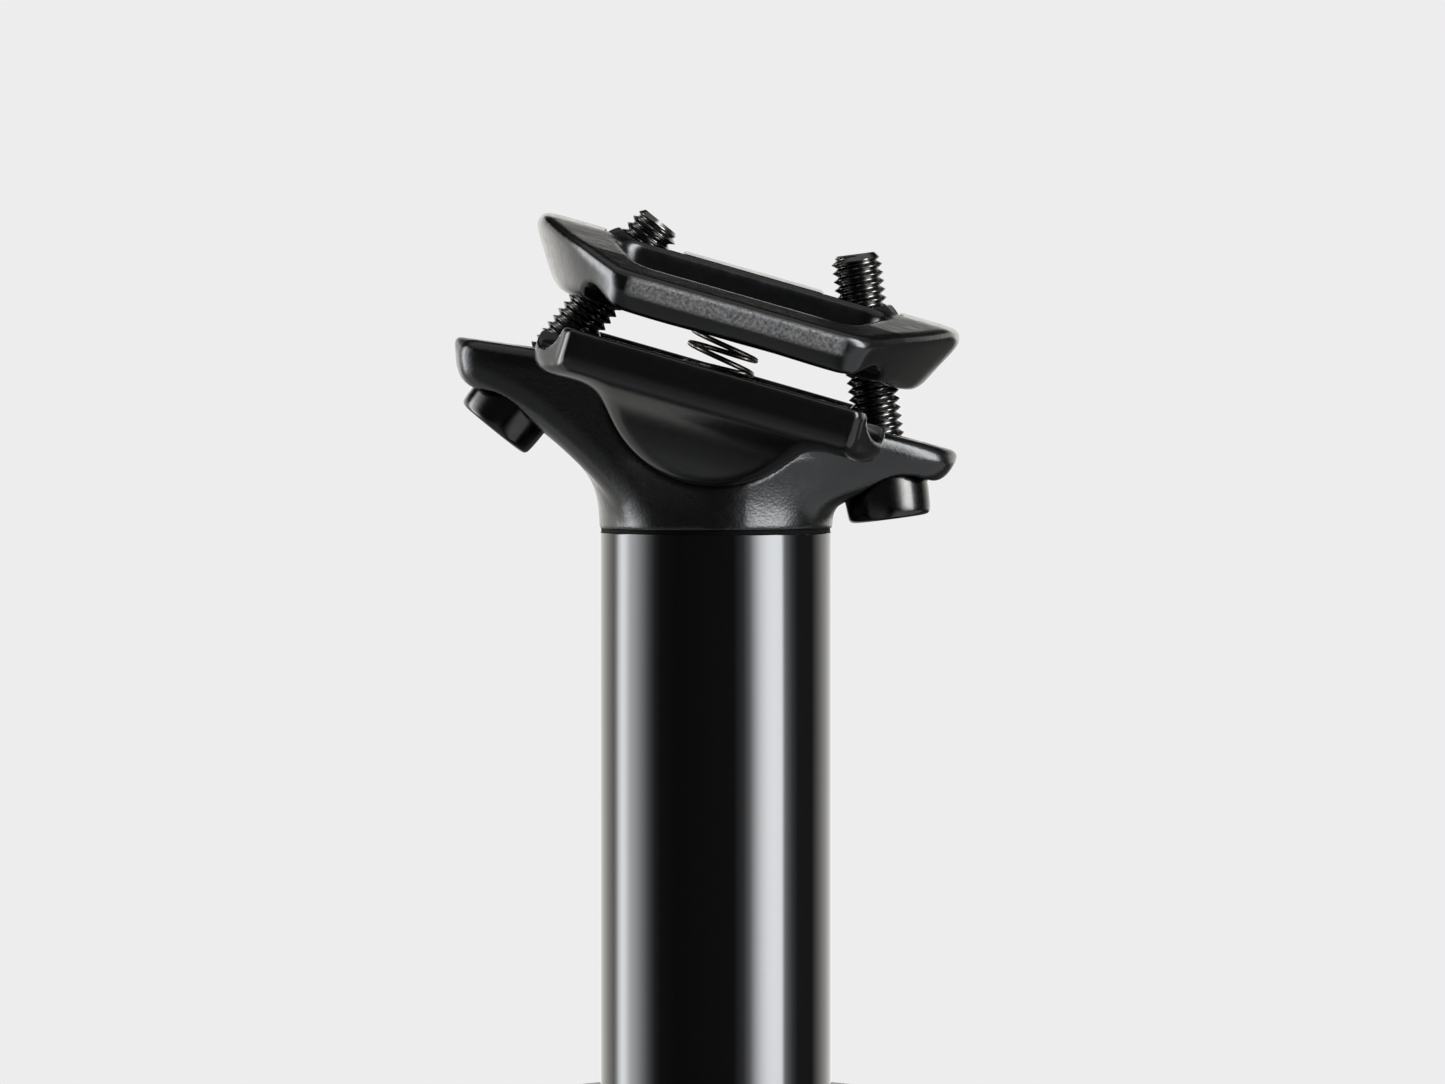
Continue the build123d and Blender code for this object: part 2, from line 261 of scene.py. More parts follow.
# ------------------------------------------------------------------ forged head
# Heights here are above the seam.
# undersides of the ears: x, z
REAR_UNDER = cut_corners([
    (40, -12), (-4, -12), (-9.2, 1.2), (-13.8, 5.5), (-17.9, 9.3), (-20.3, 11.3),
    (-22.8, 13.2), (-25.4, 14.7), (-28.6, 16.0), (-36, 17.6), (-36, 60), (40, 60)])
FRONT_UNDER = cut_corners([
    (-40, -12), (4, -12), (8.6, 1.2), (13.2, 2.5), (17.6, 3.9), (21.3, 4.65),
    (25.3, 5.0), (36, 5.8), (36, 60), (-40, 60)])
# ears from above: x, y of the -Y half
EAR_REAR = cut_corners(mirrored([
    (6.0, -12.6), (0.0, -14.1), (-4.0, -13.4), (-9.0, -12.0), (-16.0, -10.1),
    (-22.0, -8.5), (-26.4, -7.3), (-29.9, -5.8), (-30.75, -2.3)]), 3)
EAR_FRONT = cut_corners(mirrored([
    (-6.0, -12.6), (0.0, -14.1), (4.0, -13.3), (8.0, -12.0), (14.0, -10.2),
    (20.0, -8.4), (24.4, -7.0), (27.5, -5.3), (28.5, -2.2)]), 3)
# plan, underside, side draft per mm of drop, drop at which the draft starts
EARS = [(EAR_REAR, REAR_UNDER, 0.07, 1.0), (EAR_FRONT, FRONT_UNDER, 0.24, 0.5)]
NECK_R = 13.72
NECK_FLARE = 0.78
HEAD_HALF_WIDTH = 14.6
BED_R = DRUM_R + 0.07  # bed the cradle drum turns in
POCKET_R = 6.4  # round pocket under each bolt seat
SEAT_SPHERE_R = 15.08
SEAT_SPHERE_DROP = 13.0  # sphere centre below the bolt seat
BOLT_SLOT_R = 3.45
SPIGOT_R = 10.98
SPIGOT_DEPTH = 32.0
HEAD_BORE_R = 7.6


def head_field(x, y, z):
    z = z - SEAM
    # the top falls forward, along one slope behind the post axis and another ahead of it
    top = np.where(x < 0, 19.9 - 0.144 * (x + 12.0), 13.4 - 0.2655 * (x - 12.0))
    neck = np.hypot(x, y) - NECK_R - NECK_FLARE * (np.clip(z, 0.0, 8.0) / 7.5) ** 2
    drop = np.clip(top - z, 0, 12)
    ears = [
        soft_max(round_polygon(x, y, plan, 0.6) + draft * np.maximum(drop - start, 0),
                 polygon(x, z, under), blend=3.4)
        for plan, under, draft, start in EARS]
    body = blend_union(0.9, neck, *ears) + 0.06
    body = soft_max(body, np.abs(y) - HEAD_HALF_WIDTH, blend=0.8)
    body = soft_max(body, (z - top) * 0.975, blend=0.9 + 1.6 * ease(np.abs(y) / 5.0))
    body = soft_max(body, -z, blend=0.25)
    body = cut(body, np.hypot(x, z - (PIVOT[1] - SEAM)) - BED_R, blend=0.9)
    for seat, lean in SEATS.values():
        across, along = to_axis(x, z + SEAM, seat, lean)
        radial = np.hypot(across, y)
        sphere = np.sqrt(radial ** 2 + (along + SEAT_SPHERE_DROP) ** 2) - SEAT_SPHERE_R
        pocket = soft_max(radial - POCKET_R, sphere, blend=0.2)
        body = cut(body, np.maximum(pocket, -12 - along), blend=0.45)
        slot = np.hypot(np.maximum(np.abs(across) - 0.5, 0), y) - BOLT_SLOT_R
        body = cut(body, np.maximum(slot, -2 - along), blend=0.35)
    spigot = np.maximum(np.maximum(np.hypot(x, y) - SPIGOT_R, -SPIGOT_DEPTH - z), z - 1.0)
    bore = np.maximum(np.hypot(x, y) - HEAD_BORE_R, z - 1.5)
    return np.maximum(np.minimum(body, spigot), -bore)


head = field_mesh("head_forging", head_field, (-32, -15.2, SEAM - 33), (30, 15.2, SEAM + 24.5),
                  step=0.31, to_world=lambda points: points)
register(head, "shaft", "clamp_head")

# ------------------------------------------------------------------ lower cradle, clamp frame
# end view: |y|, z
CRADLE_SIDE = cut_corners([
    (-6, 8), (-20, 8), (27.5, 8), (27.5, 2.5), (27.5, -2.2), (27.25, -3.5), (26.3, -4.6),
    (24.7, -5.6), (22.8, -6.7), (21.0, -8.1), (19.4, -9.7), (18.0, -11.5), (16.9, -13.4),
    (16.2, -15.5), (-6, -15.5), (-20, -15.5)])
# bar along x beside the drum: x, z
CRADLE_BAR = [(-21.3, 2.0), (-21.3, -5.35), (21.3, -5.35), (21.3, 2.0)]
# from above: x, |y|
CRADLE_PLAN = [
    (-17.5, 27.6), (17.3, 27.6), (18.1, 25.4), (21.35, 20.4), (21.35, -6), (-21.35, -6),
    (-21.35, 19.4), (-18.4, 25.2)]
ARM_START_Y = 14.8  # the side arms begin here
CRADLE_TOP = 0.4
CRADLE_RAIL_Z = 0.9


def cradle_field(x, y, z):
    side = np.abs(y)
    drum = np.hypot(x, z) - DRUM_R
    arm = soft_min(drum, round_polygon(x, z, CRADLE_BAR, 2.6), blend=3.4)
    arm = soft_max(arm, ARM_START_Y - side, blend=1.0)
    body = soft_min(arm, drum, blend=1.2)
    body = soft_max(body, round_polygon(side, z, CRADLE_SIDE, 0.5), blend=1.4)
    body = soft_max(body, round_polygon(x, side, CRADLE_PLAN, 0.6), blend=1.5)
    body = soft_max(body, z - CRADLE_TOP, blend=0.7)
    # the top between the rail grooves is lower, and falls away towards the front and rear ends
    floor_z = np.where(side < 16.9, -0.5, 0.3) - 0.42 * np.clip(np.abs(x) - 15.5, 0, 7)
    body = cut(body, soft_max(floor_z - z, side - 18.2, blend=0.4), blend=0.5)
    rail = np.hypot(side - RAIL_Y, z - CRADLE_RAIL_Z) - RAIL_R
    body = cut(body, rail, blend=0.4)
    return cut(body, np.maximum(np.hypot(x - HOLE_X, y) - HOLE_R, -3.0 - z), blend=0.3)


cradle = field_mesh("cradle_forging", cradle_field, (-22.6, -28.6, -14.4), (22.6, 28.6, 1.6),
                    step=0.34, to_world=clamp_to_world)
register(cradle, "cradle", "lower_cradle")

# ------------------------------------------------------------------ upper clamp, clamp frame
# from above: x, y of the +Y half
HALF_PLAN = [
    (-25.1, 0), (-24.8, 4.5), (-23.8, 9.8), (-22.3, 14.8), (-20.4, 19.0), (-18.4, 22.3),
    (-16.8, 24.6), (-15.2, 26.6), (-13.0, 27.1), (-4, 27.1), (6, 27.1), (12.6, 27.1),
    (15.1, 26.9), (17.1, 25.7), (18.2, 24.0), (19.2, 22.3), (21.0, 19.0), (23.0, 14.8),
    (24.8, 9.8), (26.1, 4.5), (26.8, 0)]
UPPER_PLAN = cut_corners(HALF_PLAN + [(x, -y) for x, y in reversed(HALF_PLAN[1:-1])])
# end view: |y|, z
ROOF = [
    (-6, 12.85), (3.0, 12.8), (8.5, 12.3), (19.5, 10.2), (26.2, 8.5), (27.0, 7.9),
    (27.0, 6.0), (25.5, 3.85), (-6, 3.75)]
# side view: x, z
UPPER_SIDE = cut_corners([
    (-19.2, 3.6), (-21.0, 4.5), (-23.4, 7.4), (-25.0, 9.8), (-25.1, 11.3), (-24.2, 12.87),
    (-20, 12.87), (20, 12.87), (25.9, 12.87), (26.8, 11.3), (26.7, 9.8), (25.2, 7.2),
    (23.6, 4.4), (22.2, 3.6), (15, 3.6), (-15, 3.6)])
# pockets in the top: x, |y|
TOP_POCKET = [(-12.0, 21.3), (13.6, 21.3), (18.3, 9.2), (-15.8, 9.2)]
POCKET_FLOOR = 7.9
UPPER_RAIL_Z = 2.4
NUT_TROUGH_R = 4.3
NUT_TROUGH_Y = 8.2
UPPER_SLOT_R = 3.5


def upper_field(x, y, z):
    side = np.abs(y)
    body = round_polygon(side, z, ROOF, 0.55)
    # the plan narrows below z 10.5
    drop = np.clip(10.5 - z, -1.5, 7.0)
    drafted_x = x * (1 + np.where(x > 0, 0.020, 0.0275) * drop)
    body = soft_max(body, round_polygon(drafted_x, y, UPPER_PLAN, 0.5), blend=1.7)
    body = soft_max(body, round_polygon(x, z, UPPER_SIDE, 0.4), blend=1.0)
    # relief under the middle of the casting, between the groove walls and the spine
    relief = soft_max(np.abs(x - 0.9) - 11.5, np.abs(side - 12.6) - 3.0, blend=1.5)
    body = cut(body, soft_max(relief, z - 6.4, blend=0.8), blend=0.4)
    pocket = round_polygon(x, side, TOP_POCKET, 2.7) + 0.06 * np.maximum(11 - z, 0)
    body = cut(body, soft_max(pocket, POCKET_FLOOR - z, blend=1.2), blend=1.3)
    # slight unevenness of the underside
    body = body + (0.10 * np.sin(0.31 * x + 0.8) * np.sin(0.23 * y + 1.1)
                   * ease((6.0 - z) / 3.0))
    body = cut(body, np.hypot(side - RAIL_Y, z - UPPER_RAIL_Z) - RAIL_R, blend=0.45)
    for which in SEATS:
        angle, nut = nut_place(which)
        across, along = to_axis(x, z, nut, angle)
        width = np.where(along > 0, np.abs(across), np.hypot(across, along))
        trough = np.maximum(width - NUT_TROUGH_R, side - NUT_TROUGH_Y)
        body = cut(body, trough, blend=0.35)
        slot = np.hypot(np.maximum(np.abs(across) - 0.95, 0), y) - UPPER_SLOT_R
        body = cut(body, np.maximum(slot, along - 2), blend=0.35)
    return cut(body, np.maximum(np.hypot(x - HOLE_X, y) - HOLE_R, z - 7.4), blend=0.3)


upper = field_mesh("upper_forging", upper_field, (-26.2, -28.2, 2.8), (27.9, 28.2, 14.0),
                   step=0.32, to_world=clamp_to_world)
register(upper, "top", "upper_clamp")

# ------------------------------------------------------------------ shaft
SHAFT_R = 13.6
SHAFT_BORE_R = 11.0
SHAFT_FOOT = 118.0
SHAFT_SEGS = 256  # fine enough for the mirror finish to show no facets
JOINT_SHADE_Z = (SEAM - 0.56) * MM  # the joint groove and its painted shade start here, metres
# closed section: radius, z
SHAFT_PROFILE = [
    (SHAFT_BORE_R, SHAFT_FOOT), (SHAFT_R - 0.3, SHAFT_FOOT), (SHAFT_R, SHAFT_FOOT + 0.3),
    (SHAFT_R, 150.0), (SHAFT_R, 200.0), (SHAFT_R, 250.0), (SHAFT_R, 300.0),
    (SHAFT_R, SEAM - 0.62), (SHAFT_R - 0.02, SEAM - 0.54), (SHAFT_R - 0.08, SEAM - 0.48),
    (SHAFT_R - 0.12, SEAM - 0.4), (SHAFT_R - 0.12, SEAM - 0.02),
    (SHAFT_BORE_R, SEAM - 0.02), (SHAFT_BORE_R, 250.0)]

shaft = mesh_object("shaft_skin", turned_points(SHAFT_PROFILE, SHAFT_SEGS),
                    ring_faces(len(SHAFT_PROFILE), SHAFT_SEGS, closed=True), sharp=50)
register(shaft, "shaft", "shaft_tube")

# ------------------------------------------------------------------ bolts
# z runs along the bolt from its seat; the head is below, the thread above.
BOLT_SEGS = 72
SOCKET_FLOOR = [(0.6, -4.0)]  # radius, z
SOCKET_CENTRE_Z = -3.7
SOCKET_WALL = [(4.9, -4.35), (4.95, -5.2), (4.95, -6.75)]  # across flats, z
# face, rounded rim, side and the face towards the seat: radius, z
BOLT_HEAD = [
    (3.05, -7.0), (4.0, -7.0), (4.3, -6.98), (4.55, -6.9), (4.72, -6.76), (4.84, -6.55),
    (4.91, -6.2), (4.96, -5.6), (4.99, -4.8), (5.0, -4.0), (4.99, -3.2), (4.96, -2.4),
    (4.91, -1.8), (4.84, -1.4), (4.7, -1.1), (4.5, -1.0), (3.5, -1.0)]
FIRST_THREAD_FACE = (len(SOCKET_FLOOR + SOCKET_WALL + BOLT_HEAD) - 1) * BOLT_SEGS
THREAD_START = -0.98
THREAD_END = BOLT_TIP - 0.02
PITCH = 1.0
CREST_R = 2.99
ROOT_R = 2.42
TIP_R = 2.0


def thread_rings(angle, phase):
    rows = int((THREAD_END - THREAD_START) / PITCH * (14))
    heights = np.linspace(THREAD_START, THREAD_END, rows + 1)
    z = heights[:, None]
    turn = ((z - THREAD_START) / PITCH - angle / (2 * math.pi) + phase) % 1.0
    depth = np.clip((np.abs(turn - 0.5) * 2 - 0.09) / 0.78, 0, 1)
    radius = CREST_R - (CREST_R - ROOT_R) * depth
    # taper over the last 0.9 mm, plain shank running into thread over the first 0.8 mm
    end = np.clip((THREAD_END - z) / 0.9, 0, 1)
    radius = np.minimum(radius, ROOT_R - 0.15 + (CREST_R - ROOT_R + 0.15) * end)
    start = np.clip((z - THREAD_START) / 0.8, 0, 1)
    radius = CREST_R * (1 - start) * 0.985 + radius * start
    return list(zip(radius, heights))


def make_bolt(which, phase):
    angle = 2 * math.pi * np.arange(BOLT_SEGS) / BOLT_SEGS
    off_flat = (angle + math.pi / 6) % (math.pi / 3) - math.pi / 6
    wall = [(flats / 2 / np.cos(off_flat), z) for flats, z in SOCKET_WALL]
    rings = SOCKET_FLOOR + wall + BOLT_HEAD + thread_rings(angle, phase) + [(TIP_R, BOLT_TIP)]
    points = turned_points(rings, BOLT_SEGS)
    faces = ring_faces(len(rings), BOLT_SEGS)
    floor_centre, tip_centre = len(points), len(points) + 1
    points = np.vstack([points, (0, 0, SOCKET_CENTRE_Z), (0, 0, BOLT_TIP)])
    last = (len(rings) - 1) * BOLT_SEGS
    for k in range(BOLT_SEGS):
        following = (k + 1) % BOLT_SEGS
        faces.append((floor_centre, following, k))
        faces.append((tip_centre, last + k, last + following))
    ob = mesh_object(which + "_bolt_threaded", from_axis(points, *SEATS[which]), faces, sharp=38)
    register(ob, which + "_screw", which + "_bolt")
    return ob


bolts = [make_bolt("rear", phase=0.15), make_bolt("front", phase=0.6)]


# ------------------------------------------------------------------ coil springs
def turn_stations(turns, segs_turn):
    count = int(turns * segs_turn)
    return np.arange(count + 1) / count * turns


def closed_end_heights(turn, closing, low, high):
    """Wire heights from low to high whose first and last turns lie nearly flat."""
    turns = turn[-1]
    start = np.clip(turn / closing, 0, 1)
    end = np.clip((turns - turn) / closing, 0, 1)
    rate = np.where(turn < closing, 0.32 + 0.68 * start ** 2,
                    np.where(turn > turns - closing, 0.32 + 0.68 * end ** 2, 1.0))
    climb = np.concatenate([[0], np.cumsum((rate[1:] + rate[:-1]) / 2)])
    return low + (high - low) * climb / climb[-1]


def measured_heights(turn, stations, pad):
    """Wire heights through (turn, z) stations, averaged over pad steps either way."""
    z = np.interp(turn, *zip(*stations))
    padded = np.concatenate([np.full(pad, z[0]), z, np.full(pad, z[-1])])
    return np.convolve(padded, np.ones(2 * pad + 1) / (2 * pad + 1), mode="valid")


def coil(name, coil_r, wire_r, limits, turn, heights, wire_segs,
         centre_x=0, to_world=None, hand=1, phase=0.0, lean=0.0):
    """A wire coil about Z; limits flatten the wire's ends as grinding does."""
    angle = (hand * 2 * math.pi * turn + phase)[:, None]
    around = 2 * math.pi * np.arange(wire_segs) / wire_segs
    radius = coil_r + wire_r * np.cos(around)
    x = radius * np.cos(angle)
    level_ends = np.minimum(1.0, np.minimum(turn / 1.5, (turn[-1] - turn) / 1.5))[:, None]
    z = heights[:, None] + wire_r * np.sin(around) - lean * x * level_ends
    points = np.stack([centre_x + x, radius * np.sin(angle), np.clip(z, *limits)], 2)
    points = points.reshape(-1, 3)
    faces = ring_faces(len(turn), wire_segs)
    last = (len(turn) - 1) * wire_segs
    faces.append(tuple(range(wire_segs)))
    faces.append(tuple(last + k for k in reversed(range(wire_segs))))
    if to_world is not None:
        points = to_world(points)
    return mesh_object(name, points, faces, sharp=60)


MAIN_COIL_R = 12.2
MAIN_WIRE_R = 2.0
MAIN_LIMITS = (18.05, 111.95)
main_turn = turn_stations(turns=8.4, segs_turn=40)
main_heights = closed_end_heights(main_turn, closing=1.2, low=MAIN_LIMITS[0] + MAIN_WIRE_R,
                                  high=MAIN_LIMITS[1] - MAIN_WIRE_R)
main_spring = coil("main_coil", MAIN_COIL_R, MAIN_WIRE_R, MAIN_LIMITS, main_turn, main_heights,
                   wire_segs=16)
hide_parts("main_spring")
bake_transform(main_spring)

SMALL_COIL_R = 4.01
SMALL_LEAN = 0.085
SMALL_SEGS_TURN = 44
REAR_CROSSING_Z = 2.33  # a turn passes the coil's -X side at this height
# turn, wire height in the clamp frame
SMALL_RISE = [
    (0, -2.58), (0.9, -2.3), (1.9, -1.7), (2.4, -1.25), (2.9, -0.45), (3.4, 1.15), (3.9, 1.99),
    (4.4, 2.78), (4.9, 3.56), (5.4, 4.6), (5.9, 5.9), (6.9, 6.98)]
small_turn = turn_stations(turns=6.9, segs_turn=SMALL_SEGS_TURN)
small_heights = measured_heights(small_turn, SMALL_RISE, pad=SMALL_SEGS_TURN // 5)
crossing = float(np.interp(REAR_CROSSING_Z - SMALL_LEAN * SMALL_COIL_R, small_heights, small_turn))
small_spring = coil("centring_coil", SMALL_COIL_R, 0.32, (-2.95, 7.35), small_turn, small_heights,
                    wire_segs=12, centre_x=0.2, to_world=clamp_to_world, hand=-1,
                    phase=math.pi + 2 * math.pi * crossing, lean=SMALL_LEAN)
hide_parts("centring_spring")
# metres
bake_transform(small_spring)


# ------------------------------------------------------------------ shader nodes
def feed(tree, socket, value):
    """Link a socket to the input, or set the input to a plain value."""
    if isinstance(value, bpy.types.NodeSocket):
        tree.links.new(value, socket)
    else:
        socket.default_value = value


def add_node(tree, kind, inputs=None, **settings):
    node = tree.nodes.new("ShaderNode" + kind)
    for name, value in settings.items():
        setattr(node, name, value)
    for key, value in (inputs or {}).items():
        feed(tree, node.inputs[key], value)
    return node


def math_node(tree, operation, *values):
    return add_node(tree, "Math", dict(enumerate(values)), operation=operation).outputs[0]


def map_range(tree, value, start, end, out_start=0, out_end=1, kind="LINEAR"):
    return add_node(tree, "MapRange", {
        "Value": value, "From Min": start, "From Max": end,
        "To Min": out_start, "To Max": out_end}, interpolation_type=kind).outputs["Result"]


def window(tree, value, low, high, soft_low, soft_high, kind="SMOOTHSTEP"):
    """1 between low and high, falling off over the given widths outside them."""
    rise = map_range(tree, value, low - soft_low, low, kind=kind)
    fall = map_range(tree, value, high, high + soft_high, 1, 0, kind=kind)
    return math_node(tree, "MULTIPLY", rise, fall)


def object_coords(tree):
    return add_node(tree, "TexCoord").outputs["Object"]


def noise(tree, coords, scale, detail=2.0, rough=0.5):
    return add_node(tree, "TexNoise", {
        "Scale": scale, "Detail": detail, "Roughness": rough,
        "Vector": coords}).outputs["Fac"]


def mix_colours(tree, factor, first, second):
    return add_node(tree, "Mix", {
        "Factor": factor, "A": (*first, 1), "B": (*second, 1)},
        data_type="RGBA").outputs["Result"]


def bump(tree, coords, grain, rough=0.5, under=None):
    """Noise relief from grain (scale, strength, depth in metres), laid over another normal."""
    scale, strength, depth = grain
    inputs = {"Strength": strength, "Distance": depth,
              "Height": noise(tree, coords, scale, rough=rough)}
    if under is not None:
        inputs["Normal"] = under
    return add_node(tree, "Bump", inputs).outputs["Normal"]


def new_material(name):
    material = bpy.data.materials.new(name)
    material.use_nodes = True
    return material, material.node_tree, material.node_tree.nodes["Principled BSDF"]


def finish(name, colours, rough, fine, coarse=None, metallic=0.0, ior=1.5, spec=0.5, patch=300):
    """Patchy colour and roughness, each between two values, with one or two bump grains."""
    material, tree, shader = new_material(name)
    coords = object_coords(tree)
    tone = noise(tree, coords, patch, detail=4.0, rough=0.6)
    feed(tree, shader.inputs["Base Color"], mix_colours(tree, tone, *colours))
    wear = noise(tree, coords, patch * 3.1, detail=3.0, rough=0.6)
    feed(tree, shader.inputs["Roughness"], map_range(tree, wear, 0.3, 0.7, *rough))
    shader.inputs["Metallic"].default_value = metallic
    shader.inputs["IOR"].default_value = ior
    shader.inputs["Specular IOR Level"].default_value = spec
    normal = bump(tree, coords, coarse) if coarse else None
    normal = bump(tree, coords, fine, rough=0.55, under=normal)
    feed(tree, shader.inputs["Normal"], normal)
    return material


def add_satin_band(material):
    """Rougher, greyer, speckled bands on the two side faces of the upper clamp."""
    tree = material.node_tree
    shader = tree.nodes["Principled BSDF"]
    coords = object_coords(tree)
    x, y, z = add_node(tree, "SeparateXYZ", {0: coords}).outputs

    def calc(operation, *values):
        return math_node(tree, operation, *values)

    def above_pivot(scale):
        return calc("MULTIPLY", calc("SUBTRACT", z, PIVOT[1] * MM), scale)

    # clamp frame coordinates in mm
    up = calc("ADD", calc("MULTIPLY", x, ST * 1000), above_pivot(CT * 1000))
    side = calc("MULTIPLY", calc("ABSOLUTE", y), 1000)
    fore = calc("SUBTRACT", calc("MULTIPLY", x, CT * 1000), above_pivot(ST * 1000))
    mask = calc("MULTIPLY", map_range(tree, side, 26.25, 26.6),
                window(tree, up, 6.2, 7.9, soft_low=0.5, soft_high=0.4, kind="LINEAR"))
    mask = calc("MULTIPLY", mask,
                window(tree, fore, -12.0, 12.9, soft_low=0.9, soft_high=0.9, kind="LINEAR"))
    speck = noise(tree, coords, 2600, detail=3.0, rough=0.7)
    colour = add_node(tree, "Mix", {
        "Factor": mask, "A": shader.inputs["Base Color"].links[0].from_socket},
        data_type="RGBA")
    grey = mix_colours(tree, map_range(tree, speck, 0.35, 0.65),
                       (0.08, 0.08, 0.08), (0.28, 0.275, 0.27))
    feed(tree, colour.inputs["B"], grey)
    feed(tree, shader.inputs["Base Color"], colour.outputs["Result"])
    rough = add_node(tree, "Mix", {
        "Factor": mask, "A": shader.inputs["Roughness"].links[0].from_socket, "B": 0.5},
        data_type="FLOAT")
    feed(tree, shader.inputs["Metallic"], calc("MULTIPLY", mask, 0.85))
    feed(tree, shader.inputs["Roughness"], rough.outputs["Result"])


# ------------------------------------------------------------------ materials
PAINT = ((0.0008, 0.0008, 0.0009), (0.0016, 0.0016, 0.0017))
STEEL_GRAIN = (3000, 0.2, 0.00002)

forged = finish("forged_black_paint", PAINT, rough=(0.17, 0.23), ior=1.55,
                fine=(3600, 0.16, 0.00002), coarse=(700, 0.10, 0.00004))
forged_head = finish("forged_black_head", ((0.0010, 0.0010, 0.0010), (0.0020, 0.0019, 0.0018)),
                     rough=(0.21, 0.28), ior=1.55,
                     fine=(3000, 0.80, 0.00003), coarse=(700, 0.12, 0.00004))
forged_band = finish("forged_black_satin", PAINT, rough=(0.18, 0.25), ior=1.55,
                     fine=(3300, 0.2, 0.00002), coarse=(300, 0.5, 0.0001))
add_satin_band(forged_band)
gloss = finish("gloss_black_tube", ((0.0005, 0.0005, 0.0006), (0.0009, 0.0009, 0.0010)),
               rough=(0.05, 0.075), ior=1.6, fine=(1500, 0.03, 0.00001))
anodised = finish("anodised_black_tube", ((0.014, 0.014, 0.015), (0.02, 0.02, 0.021)),
                  rough=(0.3, 0.38), metallic=0.6, fine=(4200, 0.25, 0.00002))
oxide = finish("black_oxide_steel", ((0.045, 0.044, 0.043), (0.07, 0.067, 0.064)),
               rough=(0.13, 0.22), metallic=1.0, fine=STEEL_GRAIN, patch=600)
nut_oxide = finish("nut_black_oxide", ((0.03, 0.03, 0.03), (0.05, 0.048, 0.046)),
                   rough=(0.3, 0.45), metallic=0.8, fine=STEEL_GRAIN, patch=600)
washer_oxide = finish("washer_black_oxide", ((0.02, 0.02, 0.02), (0.035, 0.034, 0.033)),
                      rough=(0.28, 0.4), metallic=0.7, fine=STEEL_GRAIN, patch=600)
wire = finish("drawn_spring_wire", ((0.30, 0.27, 0.24), (0.42, 0.38, 0.34)),
              rough=(0.22, 0.34), metallic=1.0, fine=(5000, 0.15, 0.00001), patch=900)
phosphate = finish("phosphated_spring", ((0.06, 0.06, 0.062), (0.1, 0.1, 0.1)),
                   rough=(0.4, 0.55), metallic=0.8, fine=(2200, 0.5, 0.00005), patch=400)
rubber = finish("seal_rubber_black", ((0.012, 0.012, 0.012), (0.02, 0.02, 0.02)),
                rough=(0.55, 0.7), fine=(2500, 0.4, 0.00003), patch=500)
foam = finish("urethane_amber", ((0.42, 0.26, 0.05), (0.5, 0.33, 0.08)),
              rough=(0.4, 0.55), fine=(1500, 0.3, 0.00004), patch=250)
acetal = finish("acetal_bush", ((0.5, 0.5, 0.46), (0.58, 0.57, 0.53)),
                rough=(0.35, 0.5), fine=(2500, 0.3, 0.00002))
plastic = finish("spacer_dark_plastic", ((0.03, 0.03, 0.032), (0.045, 0.045, 0.047)),
                 rough=(0.4, 0.55), fine=(2400, 0.3, 0.00003))
brass = finish("machined_brass", ((0.55, 0.38, 0.13), (0.65, 0.46, 0.18)),
               rough=(0.2, 0.35), metallic=1.0, fine=(4000, 0.2, 0.00001), patch=500)
alloy = finish("machined_alloy", ((0.52, 0.52, 0.54), (0.62, 0.62, 0.63)),
               rough=(0.25, 0.4), metallic=1.0, fine=(4000, 0.25, 0.00001), patch=400)
thread_steel = finish("rolled_thread_steel", ((0.105, 0.103, 0.10), (0.15, 0.146, 0.14)),
                      rough=(0.15, 0.25), metallic=1.0, fine=STEEL_GRAIN, patch=600)
# painted shade: a dull black that barely reflects, laid on the joint groove at the top of the shaft;
# it is partly the dark joint line itself and partly the shadow of the gap under the head, painted in
joint_line_and_painted_shade = finish("joint_gap_painted_shade", ((0.0008, 0.0008, 0.0008), (0.0014, 0.0014, 0.0014)),
                    rough=(0.6, 0.75), ior=1.3, spec=0.15, fine=(3000, 0.3, 0.00002))

for ob, materials in (
        (head, [forged_head]), (cradle, [forged]), (upper, [forged_band]),
        (shaft, [gloss, joint_line_and_painted_shade]), (bolts[0], [oxide, thread_steel]),
        (bolts[1], [oxide, thread_steel]), (main_spring, [phosphate]), (small_spring, [wire])):
    ob.data.materials.clear()
    for material in materials:
        ob.data.materials.append(material)
for bolt in bolts:
    for face in bolt.data.polygons:
        if face.index >= FIRST_THREAD_FACE:
            face.material_index = 1
# the joint groove faces get the dull black that is partly the joint line and partly painted shadow
# of the gap
for face in shaft.data.polygons:
    if face.center.z > JOINT_SHADE_Z:
        face.material_index = 1

# CAD parts that are not forged black
PART_FINISHES = {
    "outer_tube": anodised, "collar_nut": anodised,
    "wiper_seal": rubber, "top_out_bumper": rubber, "bump_stop": foam,
    "upper_bush": acetal, "lower_bush": acetal,
    "travel_spacer": plastic, "anti_rotation_keys": brass,
    "shaft_foot": alloy, "lower_spring_seat": alloy, "preload_plug": alloy,
    "rear_barrel_nut": nut_oxide, "front_barrel_nut": nut_oxide,
    "rear_washer": washer_oxide, "front_washer": washer_oxide,
    "rear_washer_seat": washer_oxide, "front_washer_seat": washer_oxide,
}
for name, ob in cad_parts.items():
    material = PART_FINISHES.get(name, forged)
    if not ob.material_slots:
        ob.data.materials.append(material)
    for slot in ob.material_slots:
        slot.material = material

# ------------------------------------------------------------------ floor, metres
FLOOR_R = 2.6
FLOOR_Z = -0.0016
FLOOR_SEGS = 96

